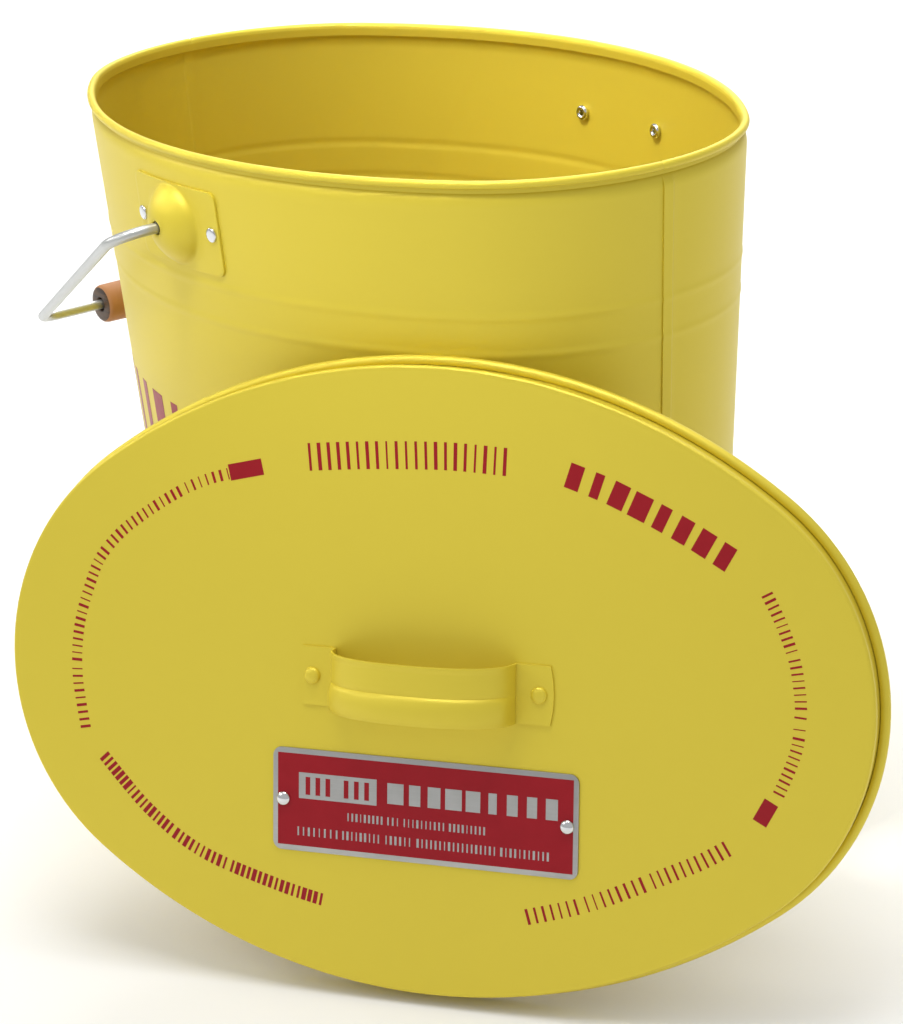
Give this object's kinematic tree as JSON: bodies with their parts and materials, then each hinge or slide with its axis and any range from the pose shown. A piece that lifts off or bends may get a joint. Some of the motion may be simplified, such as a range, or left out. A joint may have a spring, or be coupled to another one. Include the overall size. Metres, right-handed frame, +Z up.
{
  "type": "oval lidded pail",
  "caption": "Oval tinplate pail with a tapered wall, rolled rim, wire bail with wooden grip, and a loose oval lid with a strap handle that leans on its wall.",
  "frame": {"origin": "middle of the whole object's footprint on the floor, with the lid leaning and the bail stored", "axes": "+X along the pail's long axis, away from the stored bail; -Y is the side that the lid leans on; +Z up"},
  "size_m": [0.5334, 0.3884, 0.354],
  "materials": {
    "yellow_enamel": "glossy baked enamel on tinplate with a light orange peel",
    "yellow_enamel_inside": "glossy baked enamel inside the pail",
    "zinc_wire": "zinc-plated drawn wire, satin",
    "bare_rivet": "bare bright rivet metal",
    "turned_wood": "turned hardwood, oiled",
    "etched_aluminium": "brushed aluminium plate with a red enamelled field"
  },
  "bodies": {
    "pail": {"wall_front": "yellow_enamel", "wall_back": "yellow_enamel", "rim_wire": "zinc_wire", "foot_hoop": "yellow_enamel", "bottom_pan": "yellow_enamel_inside", "ear_front": "yellow_enamel", "ear_back": "yellow_enamel", "ear_rivet_front_left": "bare_rivet", "ear_rivet_front_right": "bare_rivet", "ear_rivet_back_left": "bare_rivet", "ear_rivet_back_right": "bare_rivet"},
    "bail": {"bail_wire": "zinc_wire"},
    "grip": {"grip": "turned_wood"},
    "lid": {"lid_panel": "yellow_enamel", "lid_skirt": "yellow_enamel", "lid_wire": "zinc_wire", "lid_handle": "yellow_enamel", "handle_rivet_left": "yellow_enamel", "handle_rivet_right": "yellow_enamel", "nameplate": "etched_aluminium", "plate_rivet_left": "bare_rivet", "plate_rivet_right": "bare_rivet"}
  },
  "joints": [
    {"name": "bail_swing", "type": "hinge", "parent": "pail", "child": "bail", "pos_m": [-0.058, 0.036, 0.318], "axis": [0, 1, 0], "range_deg": [0, 205]},
    {"name": "grip_turn", "type": "hinge", "parent": "bail", "child": "grip", "pos_m": [-0.25656, 0.036, 0.22541], "axis": [0, 1, 0], "continuous": true},
    {"name": "lid_lift_off", "type": "slide", "parent": "pail", "child": "lid", "axis": [0.5489, -0.8138, 0.1908], "range_m": [0, 0.3]}
  ]
}
